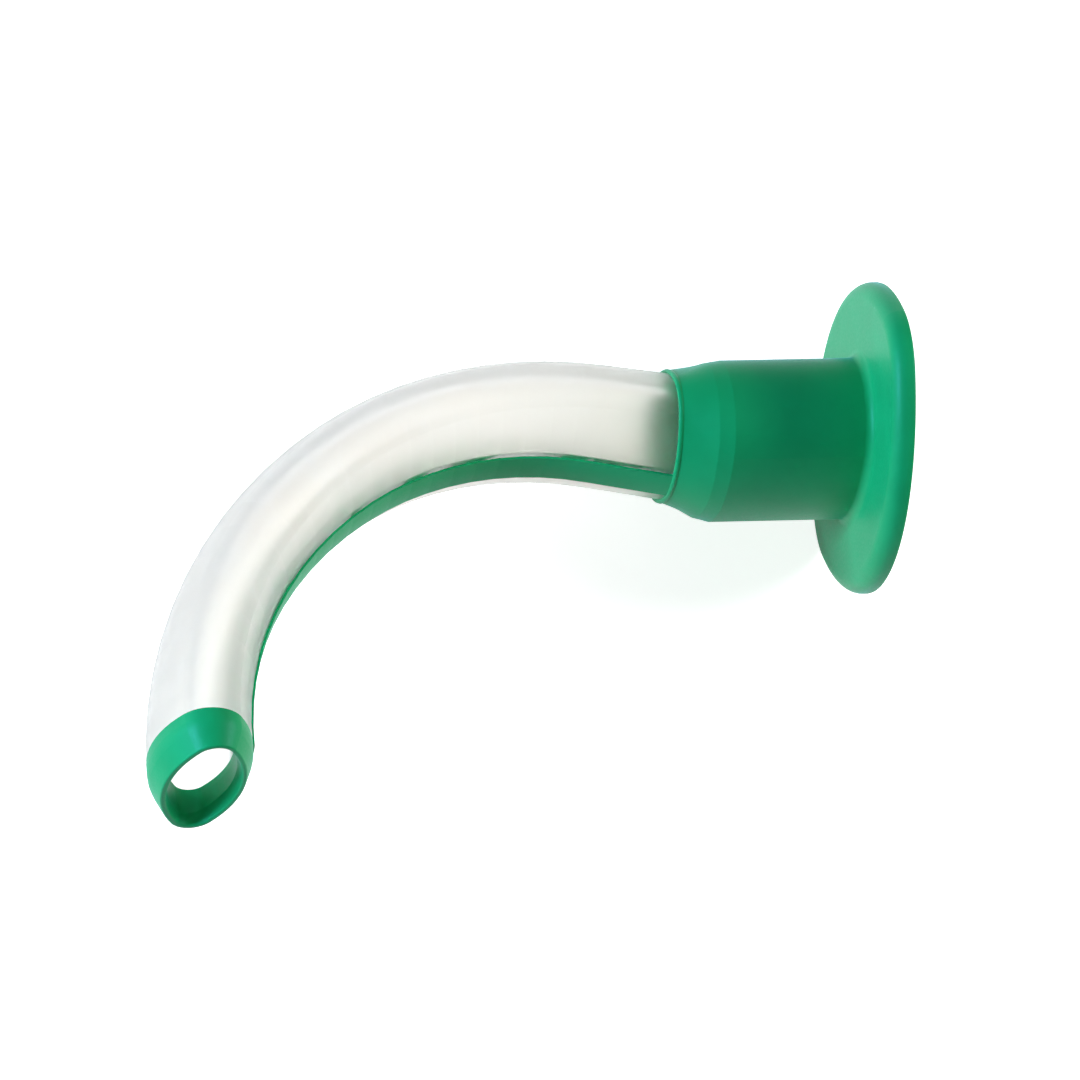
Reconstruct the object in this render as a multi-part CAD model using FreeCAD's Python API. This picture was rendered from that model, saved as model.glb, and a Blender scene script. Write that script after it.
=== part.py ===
import FreeCAD, Part
import math
import os

# Oropharyngeal airway, adult size with an 80 mm reach, lying on its side as it comes to rest.
# It is a two-shot moulding: a stiff, clear curved tube, and one soft shot over it that makes
# the flange, the bite block, a narrow strip along the inside of the curve and the tip ring.
#
# It is drawn with the flange's patient side on the plane x = 0, the tube running towards -X,
# the outside of the curve towards +Z and Y across the mouth, and is laid down at the end.
# Lengths are millimetres and angles are degrees.

# Centreline of the tube, from the patient side of the flange to the tip
bite_run = 14.4             # straight through the bite block
lift_radius = 20.0          # reverse bend that lifts the tube over the teeth
lift_angle = 10.8
neck_run = 9.5              # straight again beyond the bite block
arch_radius = 37.8          # over the tongue
arch_angle = 44.2
throat_radius = 43.0        # down into the throat
throat_angle = 57.8

# Clear tube: a flattened oval that is slimmest halfway round
neck_height = 11.9
neck_width = 17.1
arch_height = 10.1
arch_width = 17.3
tip_height = 10.9
tip_width = 18.6
tube_side_radius = 3.6      # radius of the oval's two narrow sides
tube_wall = 1.9
inlet_round = 0.7           # lead-in at the opening in the flange
shoulder = 0.6              # step down to the slimmer core under the bite block

# Flange
flange_height = 30.6
flange_width = 40.2
flange_side_radius = 8.0
flange_thickness = 2.3
flange_front_round = 1.7    # towards the lips
flange_back_round = 0.3

# Bite block
bite_length = 15.6
bite_height = 14.7
bite_width = 20.1
bite_side_radius = 6.6
bite_root_round = 0.9       # into the flange
taper_length = 4.5          # down to the clear tube
taper_ease = 0.8            # the crease turns in two steps, this far to each side of it
edge_step = 0.3            # how far the soft edge stands over the tube
edge_bevel = 0.15

# Strip along the inside of the curve, half sunk in a groove
strip_width = 3.8
strip_depth = 0.7
strip_proud = 0.25

# Tip ring
ring_length = 4.1
ring_band = 1.6             # part of its length that keeps the tube's size
ring_band_round = 3.0
mouth_flare = 0.35          # the bore opens by this much all round at the mouth
flare_depth = 1.3
mouth_lip = 0.5             # wall that is left at the mouth
lip_round = 0.2
tongue_length = 1.6         # clear tongue in the middle of the ring's wall
tongue_inset = 0.65         # soft wall on each side of the tongue

# How it lies: turned past its side towards the outside of the curve, and tip down
rest_roll = 17.6
rest_lean = 12.0

# The curved skins have a section each time that the centreline has turned this far,
# and no two sections are nearer than the gap
section_turn = 4.5
section_gap = 0.6
# How far a cutting tool reaches past the face that it cuts
past = 2.0

path = [
    (bite_run, 0.0),
    (lift_radius * math.radians(lift_angle), -math.radians(lift_angle)),
    (neck_run, 0.0),
    (arch_radius * math.radians(arch_angle), math.radians(arch_angle)),
    (throat_radius * math.radians(throat_angle), math.radians(throat_angle)),
]
path_length = sum(length for length, turn in path)
tube_end = path_length - ring_length
edge_at = bite_length + taper_length


def path_point(distance):
    """Centre of the tube and its heading below -X, at a distance from the flange's patient side."""
    x = 0.0
    z = 0.0
    heading = 0.0
    for number, (length, turn) in enumerate(path):
        last = number == len(path) - 1
        step = distance if last else min(distance, length)
        turned = turn * step / length
        chord = step if turned == 0.0 else 2.0 * math.sin(turned / 2.0) * step / turned
        x -= chord * math.cos(heading + turned / 2.0)
        z -= chord * math.sin(heading + turned / 2.0)
        heading += turned
        distance -= step
    return FreeCAD.Vector(x, 0.0, z), heading


def oval_wire(height, width, side_radius, centre, heading):
    """Oval of four tangent arcs, square to the heading, with its width along Y."""
    half_height = height / 2.0
    half_width = width / 2.0
    side_offset = half_width - side_radius
    rise = half_height - side_radius
    crown_radius = (side_offset ** 2 + half_height ** 2 - side_radius ** 2) / (2.0 * rise)
    meet = math.atan2(crown_radius - half_height, side_offset)

    def point(across, up):
        return centre + FreeCAD.Vector(-up * math.sin(heading), across, up * math.cos(heading))

    meet_across = side_offset + side_radius * math.cos(meet)
    meet_up = side_radius * math.sin(meet)
    corners = [point(-meet_across, meet_up), point(meet_across, meet_up),
               point(meet_across, -meet_up), point(-meet_across, -meet_up)]
    middles = [point(0.0, half_height), point(half_width, 0.0),
               point(0.0, -half_height), point(-half_width, 0.0)]
    arcs = []
    for number in range(4):
        arc = Part.Arc(corners[number], middles[number], corners[(number + 1) % 4])
        arcs.append(arc.toShape())
    return Part.Wire(arcs)


def tube_oval(distance, grow):
    """Section of the tube's outside at a distance along it, made larger all round by grow."""
    span = max(0.0, (distance - edge_at) / (path_length - edge_at))
    near = (1.0 - span) * (1.0 - 2.0 * span)
    middle = 4.0 * span * (1.0 - span)
    far = span * (2.0 * span - 1.0)
    height = near * neck_height + middle * arch_height + far * tip_height
    width = near * neck_width + middle * arch_width + far * tip_width
    centre, heading = path_point(distance)
    return oval_wire(height + 2.0 * grow, width + 2.0 * grow, tube_side_radius + grow, centre, heading)


def section_places(start, end):
    """Distances from start to end at which a curved skin has a section."""
    places = [start]
    reached = 0.0
    for length, turn in path:
        count = max(1, math.ceil(abs(math.degrees(turn)) / section_turn))
        for number in range(count):
            place = reached + length * (number + 1) / count
            if start + section_gap < place < end - section_gap:
                places.append(place)
        reached += length
    return places + [end]


def tube_skin(start, end, grow):
    """Solid of the tube's outside between two distances, made larger all round by grow."""
    sections = [tube_oval(place, grow) for place in section_places(start, end)]
    return Part.makeLoft(sections, True, True)


def slab(x_from, x_to):
    """Block that holds everything between two planes square to X."""
    reach = path_length
    return Part.makeBox(x_to - x_from, 2.0 * reach, 2.0 * reach, FreeCAD.Vector(x_from, -reach, -reach))


def edges_on_plane(shape, point, normal, half_width):
    """Edges of a shape that lie in a plane, no further across than half_width."""
    found = []
    for edge in shape.Edges:
        places = [edge.valueAt(edge.FirstParameter), edge.valueAt(edge.LastParameter)]
        places.append(edge.valueAt((edge.FirstParameter + edge.LastParameter) / 2.0))
        in_plane = all(abs((place - point).dot(normal)) < 1e-4 for place in places)
        if in_plane and all(abs(place.y) < half_width + 1e-3 for place in places):
            found.append(edge)
    return found


def edges_across_tube(shape, distance, half_width):
    """Edges of a shape that lie square to the tube at a distance along it."""
    centre, heading = path_point(distance)
    along = FreeCAD.Vector(-math.cos(heading), 0.0, -math.sin(heading))
    return edges_on_plane(shape, centre, along, half_width)


def edge_centre():
    """Centre of the tube where the soft edge of the bite block ends on it."""
    return path_point(edge_at)[0]


def make_core():
    """Outside of the slim stretch of tube that the flange and the bite block are moulded over."""
    skin = tube_skin(-flange_thickness - past, edge_at + past, -shoulder)
    return skin.common(slab(edge_centre().x, flange_thickness))


def make_bore():
    """Airway through the tube, from behind the flange to past the mouth."""
    return tube_skin(-flange_thickness - past, path_length + past, -tube_wall)


def make_tongue():
    """Ring of clear wall that the tip ring is moulded round."""
    outside = tube_skin(tube_end - past, tube_end + tongue_length, -tongue_inset)
    inside = tube_skin(tube_end - 2.0 * past, tube_end + 2.0 * past, tongue_inset - tube_wall)
    return outside.cut(inside)


def make_strip():
    """Soft strip along the inside of the curve, from the bite block to the tip ring."""
    outside = tube_skin(edge_at - past, tube_end, strip_proud)
    inside = tube_skin(edge_at - 2.0 * past, tube_end + past, -strip_depth)
    reach = path_length
    corner = FreeCAD.Vector(edge_centre().x - 2.0 * reach, -strip_width / 2.0, -reach)
    lane = Part.makeBox(2.0 * reach, strip_width, 2.0 * reach, corner)
    both_sides = outside.cut(inside).common(lane)
    return min(both_sides.Solids, key=lambda solid: solid.CenterOfMass.z)


def make_flange():
    """Oval plate that stops at the lips, rounded towards them."""
    outline = oval_wire(flange_height, flange_width, flange_side_radius, FreeCAD.Vector(), 0.0)
    plate = Part.Face(outline).extrude(FreeCAD.Vector(flange_thickness, 0.0, 0.0))
    forward = FreeCAD.Vector(1.0, 0.0, 0.0)
    front = edges_on_plane(plate, FreeCAD.Vector(), forward, flange_width)
    plate = plate.makeFillet(flange_front_round, front)
    back = edges_on_plane(plate, FreeCAD.Vector(flange_thickness, 0.0, 0.0), forward, flange_width)
    return plate.makeFillet(flange_back_round, back)


def taper_oval(share):
    """Section of the taper, from the bite block's size at 0 to the size of the soft edge at 1."""
    centre, heading = path_point(edge_at)
    height = share * (neck_height / math.cos(heading) + 2.0 * edge_step) + (1.0 - share) * bite_height
    width = share * (neck_width + 2.0 * edge_step) + (1.0 - share) * bite_width
    side_radius = share * (tube_side_radius + edge_step) + (1.0 - share) * bite_side_radius
    x = -share * (taper_length - edge_bevel) - bite_length
    return oval_wire(height, width, side_radius, FreeCAD.Vector(x, 0.0, share * centre.z), 0.0)


def make_bite_block():
    """Straight oval sleeve with a taper down to the clear tube."""
    root = oval_wire(bite_height, bite_width, bite_side_radius, FreeCAD.Vector(), 0.0)
    crease = FreeCAD.Vector(taper_ease - bite_length, 0.0, 0.0)
    sleeve = Part.Face(root).extrude(crease)
    ease = oval_wire(bite_height, bite_width, bite_side_radius, crease, 0.0)
    taper = Part.makeLoft([ease, taper_oval(taper_ease / taper_length), taper_oval(1.0)], True, True)
    centre, heading = path_point(edge_at)
    grow = 2.0 * (edge_step - edge_bevel)
    height = neck_height / math.cos(heading) + grow
    edge = oval_wire(height, neck_width + grow, tube_side_radius + grow / 2.0, centre, 0.0)
    return sleeve.fuse([taper, Part.makeLoft([taper_oval(1.0), edge], True, True)])


def make_tip_ring():
    """Soft ring that carries on the tube, narrows to a rounded mouth and flares inside it."""
    slope = mouth_flare / flare_depth
    mouth_grow = mouth_flare - tube_wall
    sections = [tube_oval(tube_end, 0.0), tube_oval(tube_end + ring_band, 0.0),
                tube_oval(path_length, mouth_grow + mouth_lip)]
    ring = Part.makeLoft(sections, True, True)
    ring = ring.makeFillet(ring_band_round, edges_across_tube(ring, tube_end + ring_band, tip_width))
    flare_start = tube_oval(path_length - flare_depth - past, -tube_wall - past * slope)
    flare_end = tube_oval(path_length + past, mouth_grow + past * slope)
    flare = Part.makeLoft([flare_start, flare_end], True, True)
    ring = ring.cut(tube_skin(tube_end - past, path_length + past, -tube_wall)).cut(flare)
    ring = ring.makeFillet(lip_round, edges_across_tube(ring, path_length, tip_width))
    return ring.cut(make_tongue())


def make_tube():
    """Clear tube with its core, its groove for the strip, its bore and the tongue at its end."""
    outside = tube_skin(edge_at - past, tube_end, 0.0).common(slab(-path_length, edge_centre().x))
    tube = outside.fuse([make_core(), make_tongue()]).cut(make_bore()).cut(make_strip())
    inlet = FreeCAD.Vector(flange_thickness, 0.0, 0.0)
    inlet_edges = edges_on_plane(tube, inlet, FreeCAD.Vector(1.0, 0.0, 0.0), neck_width / 2.0 - tube_wall)
    return tube.makeFillet(inlet_round, inlet_edges)


def make_overmould():
    """Everything that the soft shot makes, in one piece."""
    block = make_flange().fuse(make_bite_block())
    root = edges_on_plane(block, FreeCAD.Vector(), FreeCAD.Vector(1.0, 0.0, 0.0), bite_width / 2.0)
    block = block.makeFillet(bite_root_round, root).cut(make_core())
    strip = make_strip().common(slab(-path_length, edge_centre().x))
    return block.fuse([strip, make_tip_ring()])


def lie_down(pieces):
    """Turn the pieces to the way the airway rests, with its box centred on the origin and on the floor."""
    origin = FreeCAD.Vector()
    for piece in pieces:
        piece.rotate(origin, FreeCAD.Vector(1.0, 0.0, 0.0), -90.0 - rest_roll)
        piece.rotate(origin, FreeCAD.Vector(0.0, 1.0, 0.0), -rest_lean)
    box = Part.makeCompound(pieces).optimalBoundingBox(False, False)
    for piece in pieces:
        piece.translate(FreeCAD.Vector(-box.Center.x, -box.Center.y, -box.ZMin))


pieces = {"airway_tube": make_tube().Solids[0], "soft_overmould": make_overmould().Solids[0]}
lie_down(list(pieces.values()))
os.makedirs("parts", exist_ok=True)
for name, piece in pieces.items():
    piece.exportStep("parts/" + name + ".step")
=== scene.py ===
"""Looks of an oropharyngeal airway that lies on its side: camera, studio, finishes, fine lines.

The airway is a two-shot moulding. A translucent polypropylene tube carries one green soft shot,
which is the flange, the bite block, the strip along the inside of the curve and the tip ring.
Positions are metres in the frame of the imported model. Pattern sizes are real millimetres. The
added pieces are drawn in the moulding's own millimetres, and RestPose lays them into the frame.
"""

import logging
import math
from dataclasses import dataclass, field
from enum import Enum
from typing import Any, Dict, List, Optional, Sequence, Tuple

import bmesh
import bpy
from mathutils import Matrix, Vector


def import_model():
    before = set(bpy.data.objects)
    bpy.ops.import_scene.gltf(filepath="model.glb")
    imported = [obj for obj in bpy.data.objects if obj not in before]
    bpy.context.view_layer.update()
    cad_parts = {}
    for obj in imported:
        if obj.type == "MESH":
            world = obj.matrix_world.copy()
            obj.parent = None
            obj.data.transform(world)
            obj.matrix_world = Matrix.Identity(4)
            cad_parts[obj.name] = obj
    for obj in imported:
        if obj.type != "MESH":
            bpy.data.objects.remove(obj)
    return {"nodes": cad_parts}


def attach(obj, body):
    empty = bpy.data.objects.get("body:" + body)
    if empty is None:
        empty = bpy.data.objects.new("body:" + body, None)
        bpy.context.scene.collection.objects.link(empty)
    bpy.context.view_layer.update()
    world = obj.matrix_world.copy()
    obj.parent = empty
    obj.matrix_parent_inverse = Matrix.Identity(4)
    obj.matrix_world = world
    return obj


LOG = logging.getLogger("airway_scene")
MILLIMETRE = 0.001
WHITE = (1.0, 1.0, 1.0, 1.0)

# Noise between these values is stretched over a finish's range, and the rest is clamped to it.
NOISE_LOW, NOISE_HIGH = 0.3, 0.7

# A Mix node repeats its socket names for each kind of data, so the colour ones go by number.
MIX_FIRST, MIX_SECOND, MIX_RESULT = 6, 7, 2

Colour = Tuple[float, float, float, float]
Ring = Sequence[Vector]
Socket = bpy.types.NodeSocket


class Node(Enum):
    """Names of the CAD nodes that the scene dresses."""

    TUBE = "airway_tube"
    OVERMOULD = "soft_overmould"


class Ray(Enum):
    """Light Path outputs of the rays that see the white background."""

    CAMERA = "Is Camera Ray"
    GLOSSY = "Is Glossy Ray"
    TRANSMISSION = "Is Transmission Ray"


def linear(code: str) -> Colour:
    """Turns an sRGB hex colour into linear values.

    Args:
        code: Colour as "#RRGGBB".

    Returns:
        Linear red, green, blue and an alpha of 1.
    """
    values = [int(code[place:place + 2], 16) / 255.0 for place in (1, 3, 5)]
    curved = [v / 12.92 if v <= 0.04045 else ((v + 0.055) / 1.055) ** 2.4 for v in values]
    return (curved[0], curved[1], curved[2], 1.0)


def add_node(
    tree: bpy.types.NodeTree,
    kind: str,
    inputs: Optional[Dict[Any, Any]] = None,
    links: Optional[Dict[Any, Socket]] = None,
    **settings: Any,
) -> bpy.types.Node:
    """Adds one node with its settings, socket values and links.

    Args:
        tree: Tree that the node goes into.
        kind: Blender's type name of the node.
        inputs: Values for input sockets, by socket name or number.
        links: Output sockets that feed input sockets, by socket name or number.
        **settings: Attributes of the node, such as operation or noise_dimensions.

    Returns:
        The new node.
    """
    node = tree.nodes.new(kind)
    for name, value in settings.items():
        setattr(node, name, value)
    for name, value in (inputs or {}).items():
        node.inputs[name].default_value = value
    for name, source in (links or {}).items():
        tree.links.new(source, node.inputs[name])
    return node


def new_material(name: str) -> Tuple[bpy.types.Material, bpy.types.NodeTree]:
    """Makes an empty node material.

    Args:
        name: Name of the real material.

    Returns:
        The material and its node tree.
    """
    material = bpy.data.materials.new(name)
    material.use_nodes = True
    material.node_tree.nodes.clear()
    return material, material.node_tree


def give_material(piece: bpy.types.Object, material: bpy.types.Material) -> None:
    """Puts one material on all of a piece's slots.

    Args:
        piece: Object that gets the material.
        material: Material for every slot of it.
    """
    if not piece.material_slots:
        piece.data.materials.append(material)
    for slot in piece.material_slots:
        slot.material = material


@dataclass(frozen=True)
class ObjectPattern:
    """Noise that is fixed to the object and sized in real millimetres."""

    size_mm: float
    detail: float = 3.0
    roughness: float = 0.5

    def build(self, tree: bpy.types.NodeTree) -> Socket:
        """Adds the pattern to a tree.

        Args:
            tree: Tree of the material.

        Returns:
            Output socket with values round one half.
        """
        place = add_node(tree, "ShaderNodeTexCoord")
        scale = 1.0 / (self.size_mm * MILLIMETRE)
        noise = add_node(
            tree,
            "ShaderNodeTexNoise",
            inputs={"Scale": scale, "Detail": self.detail, "Roughness": self.roughness},
            links={"Vector": place.outputs["Object"]},
        )
        return noise.outputs["Fac"]


def spread(tree: bpy.types.NodeTree, source: Socket, low: float, high: float) -> Socket:
    """Maps a pattern onto a range of values.

    Args:
        tree: Tree of the material.
        source: Pattern with values round one half.
        low: Value at the pattern's low end.
        high: Value at the pattern's high end.

    Returns:
        Output socket with the mapped values.
    """
    mapped = add_node(
        tree,
        "ShaderNodeMapRange",
        inputs={"From Min": NOISE_LOW, "From Max": NOISE_HIGH, "To Min": low, "To Max": high},
        links={"Value": source},
    )
    return mapped.outputs["Result"]


def blend_colours(tree: bpy.types.NodeTree, factor: Socket, first: str, second: str) -> Socket:
    """Blends two sRGB colours by a pattern.

    Args:
        tree: Tree of the material.
        factor: Share of the second colour.
        first: Hex colour at 0.
        second: Hex colour at 1.

    Returns:
        Output socket with the colour.
    """
    mix = add_node(
        tree,
        "ShaderNodeMix",
        data_type="RGBA",
        inputs={MIX_FIRST: linear(first), MIX_SECOND: linear(second)},
        links={"Factor": factor},
    )
    return mix.outputs[MIX_RESULT]


def grain_bump(tree: bpy.types.NodeTree, grain: Socket, depth_mm: float) -> Socket:
    """Raises a fine grain on a surface.

    Args:
        tree: Tree of the material.
        grain: Pattern of the grain.
        depth_mm: How far the pattern's top stands over its bottom.

    Returns:
        Output socket with the bent normal.
    """
    bump = add_node(
        tree,
        "ShaderNodeBump",
        inputs={"Strength": 1.0, "Distance": depth_mm * MILLIMETRE},
        links={"Height": grain},
    )
    return bump.outputs["Normal"]


def end_material(tree: bpy.types.NodeTree, shader: Socket) -> None:
    """Adds a material's output node."""
    add_node(tree, "ShaderNodeOutputMaterial", links={"Surface": shader})


@dataclass(frozen=True)
class SoftGreenPlastic:
    """Soft thermoplastic elastomer in the green of the 80 mm size, with a fine moulded surface.

    To the eye it is a deep, even green with a broad satin gleam. The gleam and the thin sheen at
    glancing faces lean to blue-green, and a little light spreads under the surface.
    """

    name: str = "soft_green_elastomer"
    colour: str = "#119E5E"
    second_colour: str = "#14A664"
    highlight_tint: str = "#98F0FF"
    ior: float = 1.5
    specular_level: float = 0.22
    sheen: float = 0.2
    sheen_tint: str = "#48D8F0"
    sheen_roughness: float = 0.3
    subsurface: float = 0.05
    subsurface_mm: Tuple[float, float, float] = (0.3, 1.0, 0.7)
    cloud: ObjectPattern = field(default_factory=lambda: ObjectPattern(5.0))
    grain: ObjectPattern = field(default_factory=lambda: ObjectPattern(0.25, detail=2.0))
    grain_depth_mm: float = 0.006
    roughness: Tuple[float, float] = (0.42, 0.5)

    def build(self) -> bpy.types.Material:
        """Makes the material.

        Returns:
            The finished material.
        """
        material, tree = new_material(self.name)
        cloud = self.cloud.build(tree)
        grain = self.grain.build(tree)
        share = spread(tree, cloud, 0.0, 1.0)
        shader = add_node(
            tree,
            "ShaderNodeBsdfPrincipled",
            inputs={
                "IOR": self.ior,
                "Specular IOR Level": self.specular_level,
                "Specular Tint": linear(self.highlight_tint),
                "Sheen Weight": self.sheen,
                "Sheen Roughness": self.sheen_roughness,
                "Sheen Tint": linear(self.sheen_tint),
                "Subsurface Weight": self.subsurface,
                "Subsurface Radius": self.subsurface_mm,
                "Subsurface Scale": MILLIMETRE,
            },
            links={
                "Base Color": blend_colours(tree, share, self.colour, self.second_colour),
                "Roughness": spread(tree, grain, *self.roughness),
                "Normal": grain_bump(tree, grain, self.grain_depth_mm),
            },
        )
        end_material(tree, shader.outputs["BSDF"])
        return material


@dataclass(frozen=True)
class BondedFace:
    """Soft plastic where it is fused to the clear wall, which leaves it no gloss of its own.

    To the eye it is the green shade that shows, blurred, through the end of the clear tube.
    """

    name: str = "soft_green_bond"
    colour: str = "#1CBE7C"
    second_colour: str = "#22C886"
    cloud: ObjectPattern = field(default_factory=lambda: ObjectPattern(3.0))

    def build(self) -> bpy.types.Material:
        """Makes the material.

        Returns:
            The finished material.
        """
        material, tree = new_material(self.name)
        share = spread(tree, self.cloud.build(tree), 0.0, 1.0)
        shader = add_node(
            tree,
            "ShaderNodeBsdfPrincipled",
            inputs={"Specular IOR Level": 0.0, "Roughness": 1.0},
            links={"Base Color": blend_colours(tree, share, self.colour, self.second_colour)},
        )
        end_material(tree, shader.outputs["BSDF"])
        return material


@dataclass(frozen=True)
class ClearPolypropylene:
    """Translucent polypropylene with the faint haze and flow marks of a moulded tube.

    To the eye it is a milky, slightly warm wall that blurs what lies behind it, with dim, soft
    reflections.
    """

    name: str = "translucent_polypropylene"
    colour: str = "#F9F5EF"
    second_colour: str = "#FBF9F5"
    reflection: str = "#8C8C8C"
    ior: float = 1.49
    transmission: float = 0.98
    cloud: ObjectPattern = field(default_factory=lambda: ObjectPattern(9.0))
    grain: ObjectPattern = field(default_factory=lambda: ObjectPattern(0.4, detail=2.0))
    grain_depth_mm: float = 0.004
    roughness: Tuple[float, float] = (0.38, 0.45)

    def build(self) -> bpy.types.Material:
        """Makes the material.

        Returns:
            The finished material.
        """
        material, tree = new_material(self.name)
        cloud = self.cloud.build(tree)
        grain = self.grain.build(tree)
        share = spread(tree, cloud, 0.0, 1.0)
        shader = add_node(
            tree,
            "ShaderNodeBsdfPrincipled",
            inputs={
                "IOR": self.ior,
                "Transmission Weight": self.transmission,
                "Specular Tint": linear(self.reflection),
            },
            links={
                "Base Color": blend_colours(tree, share, self.colour, self.second_colour),
                "Roughness": spread(tree, cloud, *self.roughness),
                "Normal": grain_bump(tree, grain, self.grain_depth_mm),
            },
        )
        end_material(tree, shader.outputs["BSDF"])
        return material


class Slot(Enum):
    """Name of the green soft plastic's material slot."""

    SOFT = "green_soft_plastic"


@dataclass(frozen=True)
class RestPose:
    """How the moulding, drawn from the flange's patient side, lies on the floor."""

    roll_deg: float = 107.6
    lean_deg: float = 12.0
    shift: Tuple[float, float, float] = (0.0373094, 0.0126101, 0.0187922)

    def matrix(self) -> Matrix:
        """Gives the way from the moulding's millimetres to the frame's metres.

        Returns:
            The 4x4 matrix.
        """
        roll = Matrix.Rotation(-math.radians(self.roll_deg), 4, "X")
        lean = Matrix.Rotation(-math.radians(self.lean_deg), 4, "Y")
        return Matrix.Translation(self.shift) @ lean @ roll @ Matrix.Scale(MILLIMETRE, 4)


@dataclass(frozen=True)
class Oval:
    """Flattened oval of four tangent arcs, in millimetres."""

    height: float
    width: float
    side_radius: float

    def grown(self, by: float) -> "Oval":
        """Gives the oval made larger all round.

        Args:
            by: Distance, negative to make it smaller.

        Returns:
            The other oval.
        """
        return Oval(self.height + 2.0 * by, self.width + 2.0 * by, self.side_radius + by)

    def point(self, turn: float) -> Tuple[float, float, float, float]:
        """Gives a point of the outline and the direction that leads straight out of it.

        Args:
            turn: Share of the way round, from the crown.

        Returns:
            Across, up, and the outward direction's across and up.
        """
        side_offset = self.width / 2.0 - self.side_radius
        rise = self.height / 2.0 - self.side_radius
        crown = (side_offset ** 2 + (self.height / 2.0) ** 2 - self.side_radius ** 2) / (2.0 * rise)
        angle = 2.0 * math.pi * turn
        out = (math.sin(angle), math.cos(angle))
        meet = math.atan2(side_offset, crown - self.height / 2.0)
        tilt = math.atan2(abs(out[0]), abs(out[1]))
        if tilt <= meet:
            centre = (0.0, math.copysign(1.0, out[1]) * (self.height / 2.0 - crown))
            radius = crown
        else:
            centre = (math.copysign(side_offset, out[0]), 0.0)
            radius = self.side_radius
        return (centre[0] + radius * out[0], centre[1] + radius * out[1], out[0], out[1])


def loft(name: str, rings: Sequence[Ring], closed: bool = False) -> bpy.types.Object:
    """Makes a smooth skin through rings that all have as many points.

    Args:
        name: Name of the piece.
        rings: Rings of points in the frame's metres.
        closed: Whether the last ring joins the first.

    Returns:
        The new object, linked to the scene.
    """
    mesh = bmesh.new()
    rows = [[mesh.verts.new(point) for point in ring] for ring in rings]
    pairs = list(zip(rows, rows[1:] + rows[:1])) if closed else list(zip(rows, rows[1:]))
    for first, second in pairs:
        for number in range(len(first)):
            after = (number + 1) % len(first)
            mesh.faces.new((first[number], first[after], second[after], second[number]))
    bmesh.ops.recalc_face_normals(mesh, faces=mesh.faces)
    for face in mesh.faces:
        face.smooth = True
    data = bpy.data.meshes.new(name)
    mesh.to_mesh(data)
    mesh.free()
    piece = bpy.data.objects.new(name, data)
    bpy.context.scene.collection.objects.link(piece)
    return piece


def finish_piece(piece: bpy.types.Object, material: bpy.types.Material) -> None:
    """Gives a new piece its material and its place on the body.

    Args:
        piece: The new piece.
        material: Finish of the piece.
    """
    give_material(piece, material)
    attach(piece, "root")
    LOG.info("%s: %d faces", piece.name, len(piece.data.polygons))


@dataclass(frozen=True)
class BondSkin:
    """Face of the soft shot that grips the clear tube under the bite block.

    It is what shows as a green shade through the clear wall near the bite block. It lies just
    inside the wall, so that the two shots don't share one surface. Sizes are millimetres.
    """

    name: str = "bite_bond_skin"
    section: Oval = Oval(12.115, 17.1, 3.6)
    edge_x: float = -20.0436
    edge_z: float = 0.716
    straight_x: float = -14.4
    end_x: float = -4.0
    shoulder: float = 0.6
    cover: float = 0.04
    bend_z: Tuple[Tuple[float, float], ...] = ((-18.1477, 0.3543), (-16.9, 0.157), (-15.6, 0.036))
    points: int = 96

    def rings(self, pose: Matrix) -> List[List[Vector]]:
        """Places the skin's rings.

        Args:
            pose: Way from the moulding's millimetres to the frame.

        Returns:
            Rings from the soft edge to the flange.
        """
        near = self.edge_x - self.cover
        core = -self.cover - self.shoulder
        places = [(near, self.edge_z, -self.cover), (near, self.edge_z, core)]
        places += [(x, z, core) for x, z in self.bend_z]
        places += [(x, 0.0, core) for x in (self.straight_x, self.end_x)]
        rings = []
        for x, z, grow in places:
            oval = self.section.grown(grow)
            ring = []
            for number in range(self.points):
                across, up, _, _ = oval.point(number / self.points)
                ring.append(pose @ Vector((x, across, up + z)))
            rings.append(ring)
        return rings

    def build(self, pose: Matrix, material: bpy.types.Material) -> bpy.types.Object:
        """Makes and dresses the skin.

        Args:
            pose: Way from the moulding's millimetres to the frame.
            material: Finish of the soft shot.

        Returns:
            The new piece.
        """
        piece = loft(self.name, self.rings(pose))
        finish_piece(piece, material)
        return piece


@dataclass(frozen=True)
class MouldedBead:
    """Thin rounded line that a mould leaves along an oval edge. Sizes are millimetres."""

    name: str
    section: Oval
    x: float
    z: float
    radius: float
    inset: float
    points: int = 144
    sides: int = 10

    def build(self, pose: Matrix, material: bpy.types.Material) -> bpy.types.Object:
        """Makes and dresses the bead.

        Args:
            pose: Way from the moulding's millimetres to the frame.
            material: Finish of the soft shot.

        Returns:
            The new piece.
        """
        line = self.section.grown(-self.inset)
        rings = []
        for number in range(self.points):
            across, up, out_across, out_up = line.point(number / self.points)
            ring = []
            for side in range(self.sides):
                angle = 2.0 * math.pi * side / self.sides
                out = self.radius * math.cos(angle)
                along = self.radius * math.sin(angle)
                lift = self.z + up + out * out_up
                ring.append(pose @ Vector((self.x + along, across + out * out_across, lift)))
            rings.append(ring)
        piece = loft(self.name, rings, closed=True)
        finish_piece(piece, material)
        return piece


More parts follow.
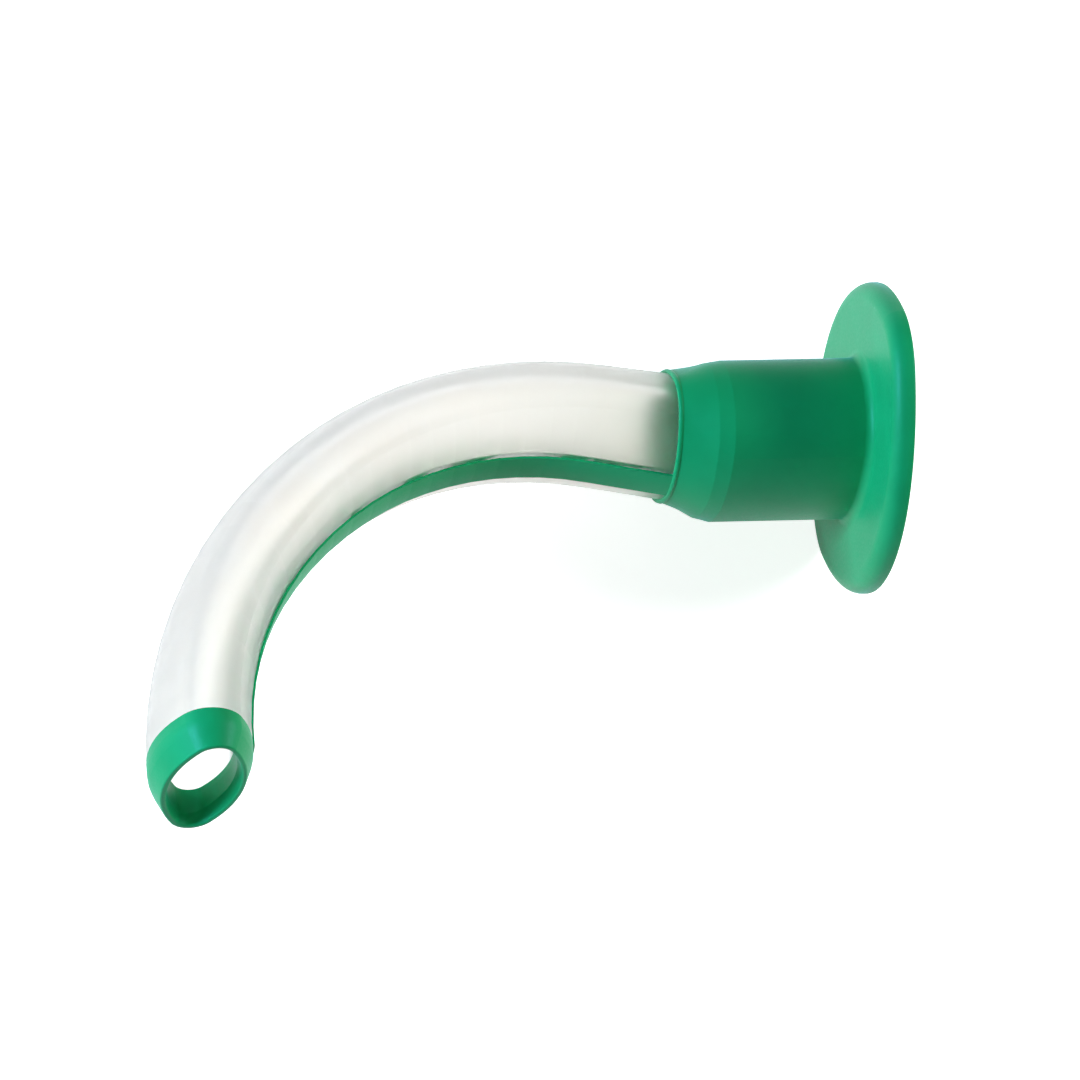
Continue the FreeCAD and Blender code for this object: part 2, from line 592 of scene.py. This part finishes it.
@dataclass(frozen=True)
class StudioWhite:
    """Matt white paper of the floor.

    To the eye it is a floor without an edge, pure white but for the object's soft shadow.
    """

    name: str = "white_studio_paper"
    colour: str = "#F2F2F2"
    glow: float = 0.85

    def build(self) -> bpy.types.Material:
        """Makes the material.

        Returns:
            The finished material.
        """
        material, tree = new_material(self.name)
        paper = add_node(tree, "ShaderNodeBsdfDiffuse", inputs={"Color": linear(self.colour)})
        glow = add_node(
            tree,
            "ShaderNodeEmission",
            inputs={"Color": WHITE},
            links={"Strength": scaled(tree, seen_by_backdrop_rays(tree), self.glow)},
        )
        both = add_node(
            tree, "ShaderNodeAddShader", links={0: paper.outputs[0], 1: glow.outputs[0]}
        )
        end_material(tree, both.outputs[0])
        return material


def scaled(tree: bpy.types.NodeTree, source: Socket, factor: float) -> Socket:
    """Multiplies a value.

    Args:
        tree: Tree of the material or world.
        source: Value to scale.
        factor: What it is multiplied by.

    Returns:
        Output socket with the product.
    """
    product = add_node(
        tree, "ShaderNodeMath", operation="MULTIPLY", inputs={1: factor}, links={0: source}
    )
    return product.outputs[0]


def seen_by_backdrop_rays(tree: bpy.types.NodeTree) -> Socket:
    """Marks the rays that should see a white background.

    Args:
        tree: Tree of the material or world.

    Returns:
        Output socket that is 1 for those rays and 0 for all others.
    """
    path = add_node(tree, "ShaderNodeLightPath")
    total = path.outputs[Ray.CAMERA.value]
    for ray in (Ray.GLOSSY, Ray.TRANSMISSION):
        other = path.outputs[ray.value]
        larger = add_node(
            tree, "ShaderNodeMath", operation="MAXIMUM", links={0: total, 1: other}
        )
        total = larger.outputs[0]
    return total


@dataclass(frozen=True)
class CameraRig:
    """Long-lens camera that looks down on the airway at the photograph's angle.

    Lengths are metres. The frame's width is what the picture spans at the target.
    """

    target: Tuple[float, float, float] = (0.0028626, 0.0019384, 0.0137675)
    azimuth_deg: float = -62.29180
    elevation_deg: float = 61.10395
    roll_deg: float = 60.86098
    distance: float = 2.6
    frame_width: float = 0.11180124
    sensor_mm: float = 36.0
    clip_end: float = 20.0

    def build(self) -> bpy.types.Object:
        """Makes the camera and sets it as the scene's own.

        Returns:
            The camera object.
        """
        azimuth = math.radians(self.azimuth_deg)
        elevation = math.radians(self.elevation_deg)
        back = Vector((
            math.sin(azimuth) * math.cos(elevation),
            -math.cos(azimuth) * math.cos(elevation),
            math.sin(elevation),
        ))
        level = Vector((math.cos(azimuth), math.sin(azimuth), 0.0))
        upright = back.cross(level)
        roll = math.radians(self.roll_deg)
        right = level * math.cos(roll) + upright * math.sin(roll)
        up = back.cross(right)
        data = bpy.data.cameras.new("camera")
        data.sensor_width = self.sensor_mm
        data.lens = self.sensor_mm * self.distance / self.frame_width
        data.clip_end = self.clip_end
        camera = bpy.data.objects.new("camera", data)
        pose = Matrix((right, up, back)).transposed().to_4x4()
        pose.translation = Vector(self.target) + back * self.distance
        camera.matrix_world = pose
        bpy.context.scene.collection.objects.link(camera)
        bpy.context.scene.camera = camera
        LOG.info("camera: lens %.0f mm at %.2f m", data.lens, self.distance)
        return camera


@dataclass(frozen=True)
class SoftBox:
    """One square studio lamp. Lengths are metres and its power is watts."""

    name: str
    direction: Tuple[float, float, float]
    distance: float
    size: float
    power: float
    colour: str = "#FFFFFF"

    def build(self, target: Vector) -> bpy.types.Object:
        """Makes the lamp and aims it.

        Args:
            target: Point that the lamp looks at.

        Returns:
            The lamp object.
        """
        data = bpy.data.lights.new(self.name, "AREA")
        data.shape = "SQUARE"
        data.size = self.size
        data.energy = self.power
        data.color = linear(self.colour)[:3]
        lamp = bpy.data.objects.new(self.name, data)
        away = Vector(self.direction).normalized()
        lamp.location = target + away * self.distance
        lamp.rotation_euler = away.to_track_quat("Z", "Y").to_euler()
        bpy.context.scene.collection.objects.link(lamp)
        LOG.info("lamp %s: %.2f W", self.name, self.power)
        return lamp


@dataclass(frozen=True)
class Studio:
    """White floor, white surroundings and soft lamps."""

    floor_size: float = 4.0
    fill_strength: float = 0.08
    lamps: Tuple[SoftBox, ...] = (
        SoftBox(
            name="key_softbox",
            direction=(-0.97, 0.01, 0.12),
            distance=0.7,
            size=0.14,
            power=6.8,
            colour="#ACD6FF",
        ),
        SoftBox(
            name="side_softbox",
            direction=(0.75, 0.1, 0.65),
            distance=0.7,
            size=0.3,
            power=3.9,
        ),
    )

    def build_floor(self) -> bpy.types.Object:
        """Makes the floor plane.

        Returns:
            The floor object.
        """
        half = self.floor_size / 2.0
        mesh = bpy.data.meshes.new("studio_floor")
        corners = [(-half, -half, 0.0), (half, -half, 0.0), (half, half, 0.0), (-half, half, 0.0)]
        mesh.from_pydata(corners, [], [(0, 1, 2, 3)])
        floor = bpy.data.objects.new("studio_floor", mesh)
        bpy.context.scene.collection.objects.link(floor)
        give_material(floor, StudioWhite().build())
        return floor

    def build_world(self) -> None:
        """Makes the surroundings, which look pure white and light the object softly."""
        world = bpy.data.worlds.new("studio_world")
        world.use_nodes = True
        tree = world.node_tree
        tree.nodes.clear()
        seen = seen_by_backdrop_rays(tree)
        strength = add_node(
            tree,
            "ShaderNodeMapRange",
            inputs={"To Min": self.fill_strength, "To Max": 1.0},
            links={"Value": seen},
        )
        glow = add_node(
            tree,
            "ShaderNodeBackground",
            inputs={"Color": WHITE},
            links={"Strength": strength.outputs["Result"]},
        )
        add_node(tree, "ShaderNodeOutputWorld", links={"Surface": glow.outputs[0]})
        bpy.context.scene.world = world

    def build(self, target: Vector) -> None:
        """Makes the whole studio.

        Args:
            target: Point that the lamps look at.
        """
        self.build_floor()
        self.build_world()
        for lamp in self.lamps:
            lamp.build(target)
        LOG.info("studio: floor, world and %d lamps", len(self.lamps))


@dataclass
class Airway:
    """The airway's two CAD nodes, the skin between them and the fine moulded lines on them."""

    nodes: Dict[str, bpy.types.Object]
    pose: RestPose = RestPose()
    skin: BondSkin = BondSkin()
    beads: Tuple[MouldedBead, ...] = (
        MouldedBead(
            name="bite_edge_bead",
            section=Oval(12.115, 17.1, 3.6),
            x=-20.06,
            z=0.716,
            radius=0.3,
            inset=-0.1,
        ),
        MouldedBead(
            name="flange_parting_bead",
            section=Oval(30.6, 40.2, 8.0),
            x=2.14,
            z=0.0,
            radius=0.13,
            inset=0.16,
        ),
    )

    def dress(self) -> None:
        """Gives each CAD node its finish and adds the pieces on it."""
        clear = ClearPolypropylene().build()
        soft = SoftGreenPlastic().build()
        for node, material in ((Node.TUBE, clear), (Node.OVERMOULD, soft)):
            give_material(self.nodes[node.value], material)
            LOG.info("%s: %s", node.value, material.name)
        pose = self.pose.matrix()
        self.skin.build(pose, BondedFace().build())
        for bead in self.beads:
            bead.build(pose, soft)


def main(frame: Dict[str, Any]) -> None:
    """Builds the scene round the loaded frame.
    """
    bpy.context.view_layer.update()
    bpy.context.scene.view_settings.view_transform = "Standard"
    rig = CameraRig()
    rig.build()
    Studio().build(Vector(rig.target))
    Airway(frame["nodes"]).dress()


if __name__ == "__main__":
    logging.basicConfig(level=logging.INFO)
    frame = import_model()
    main(frame)
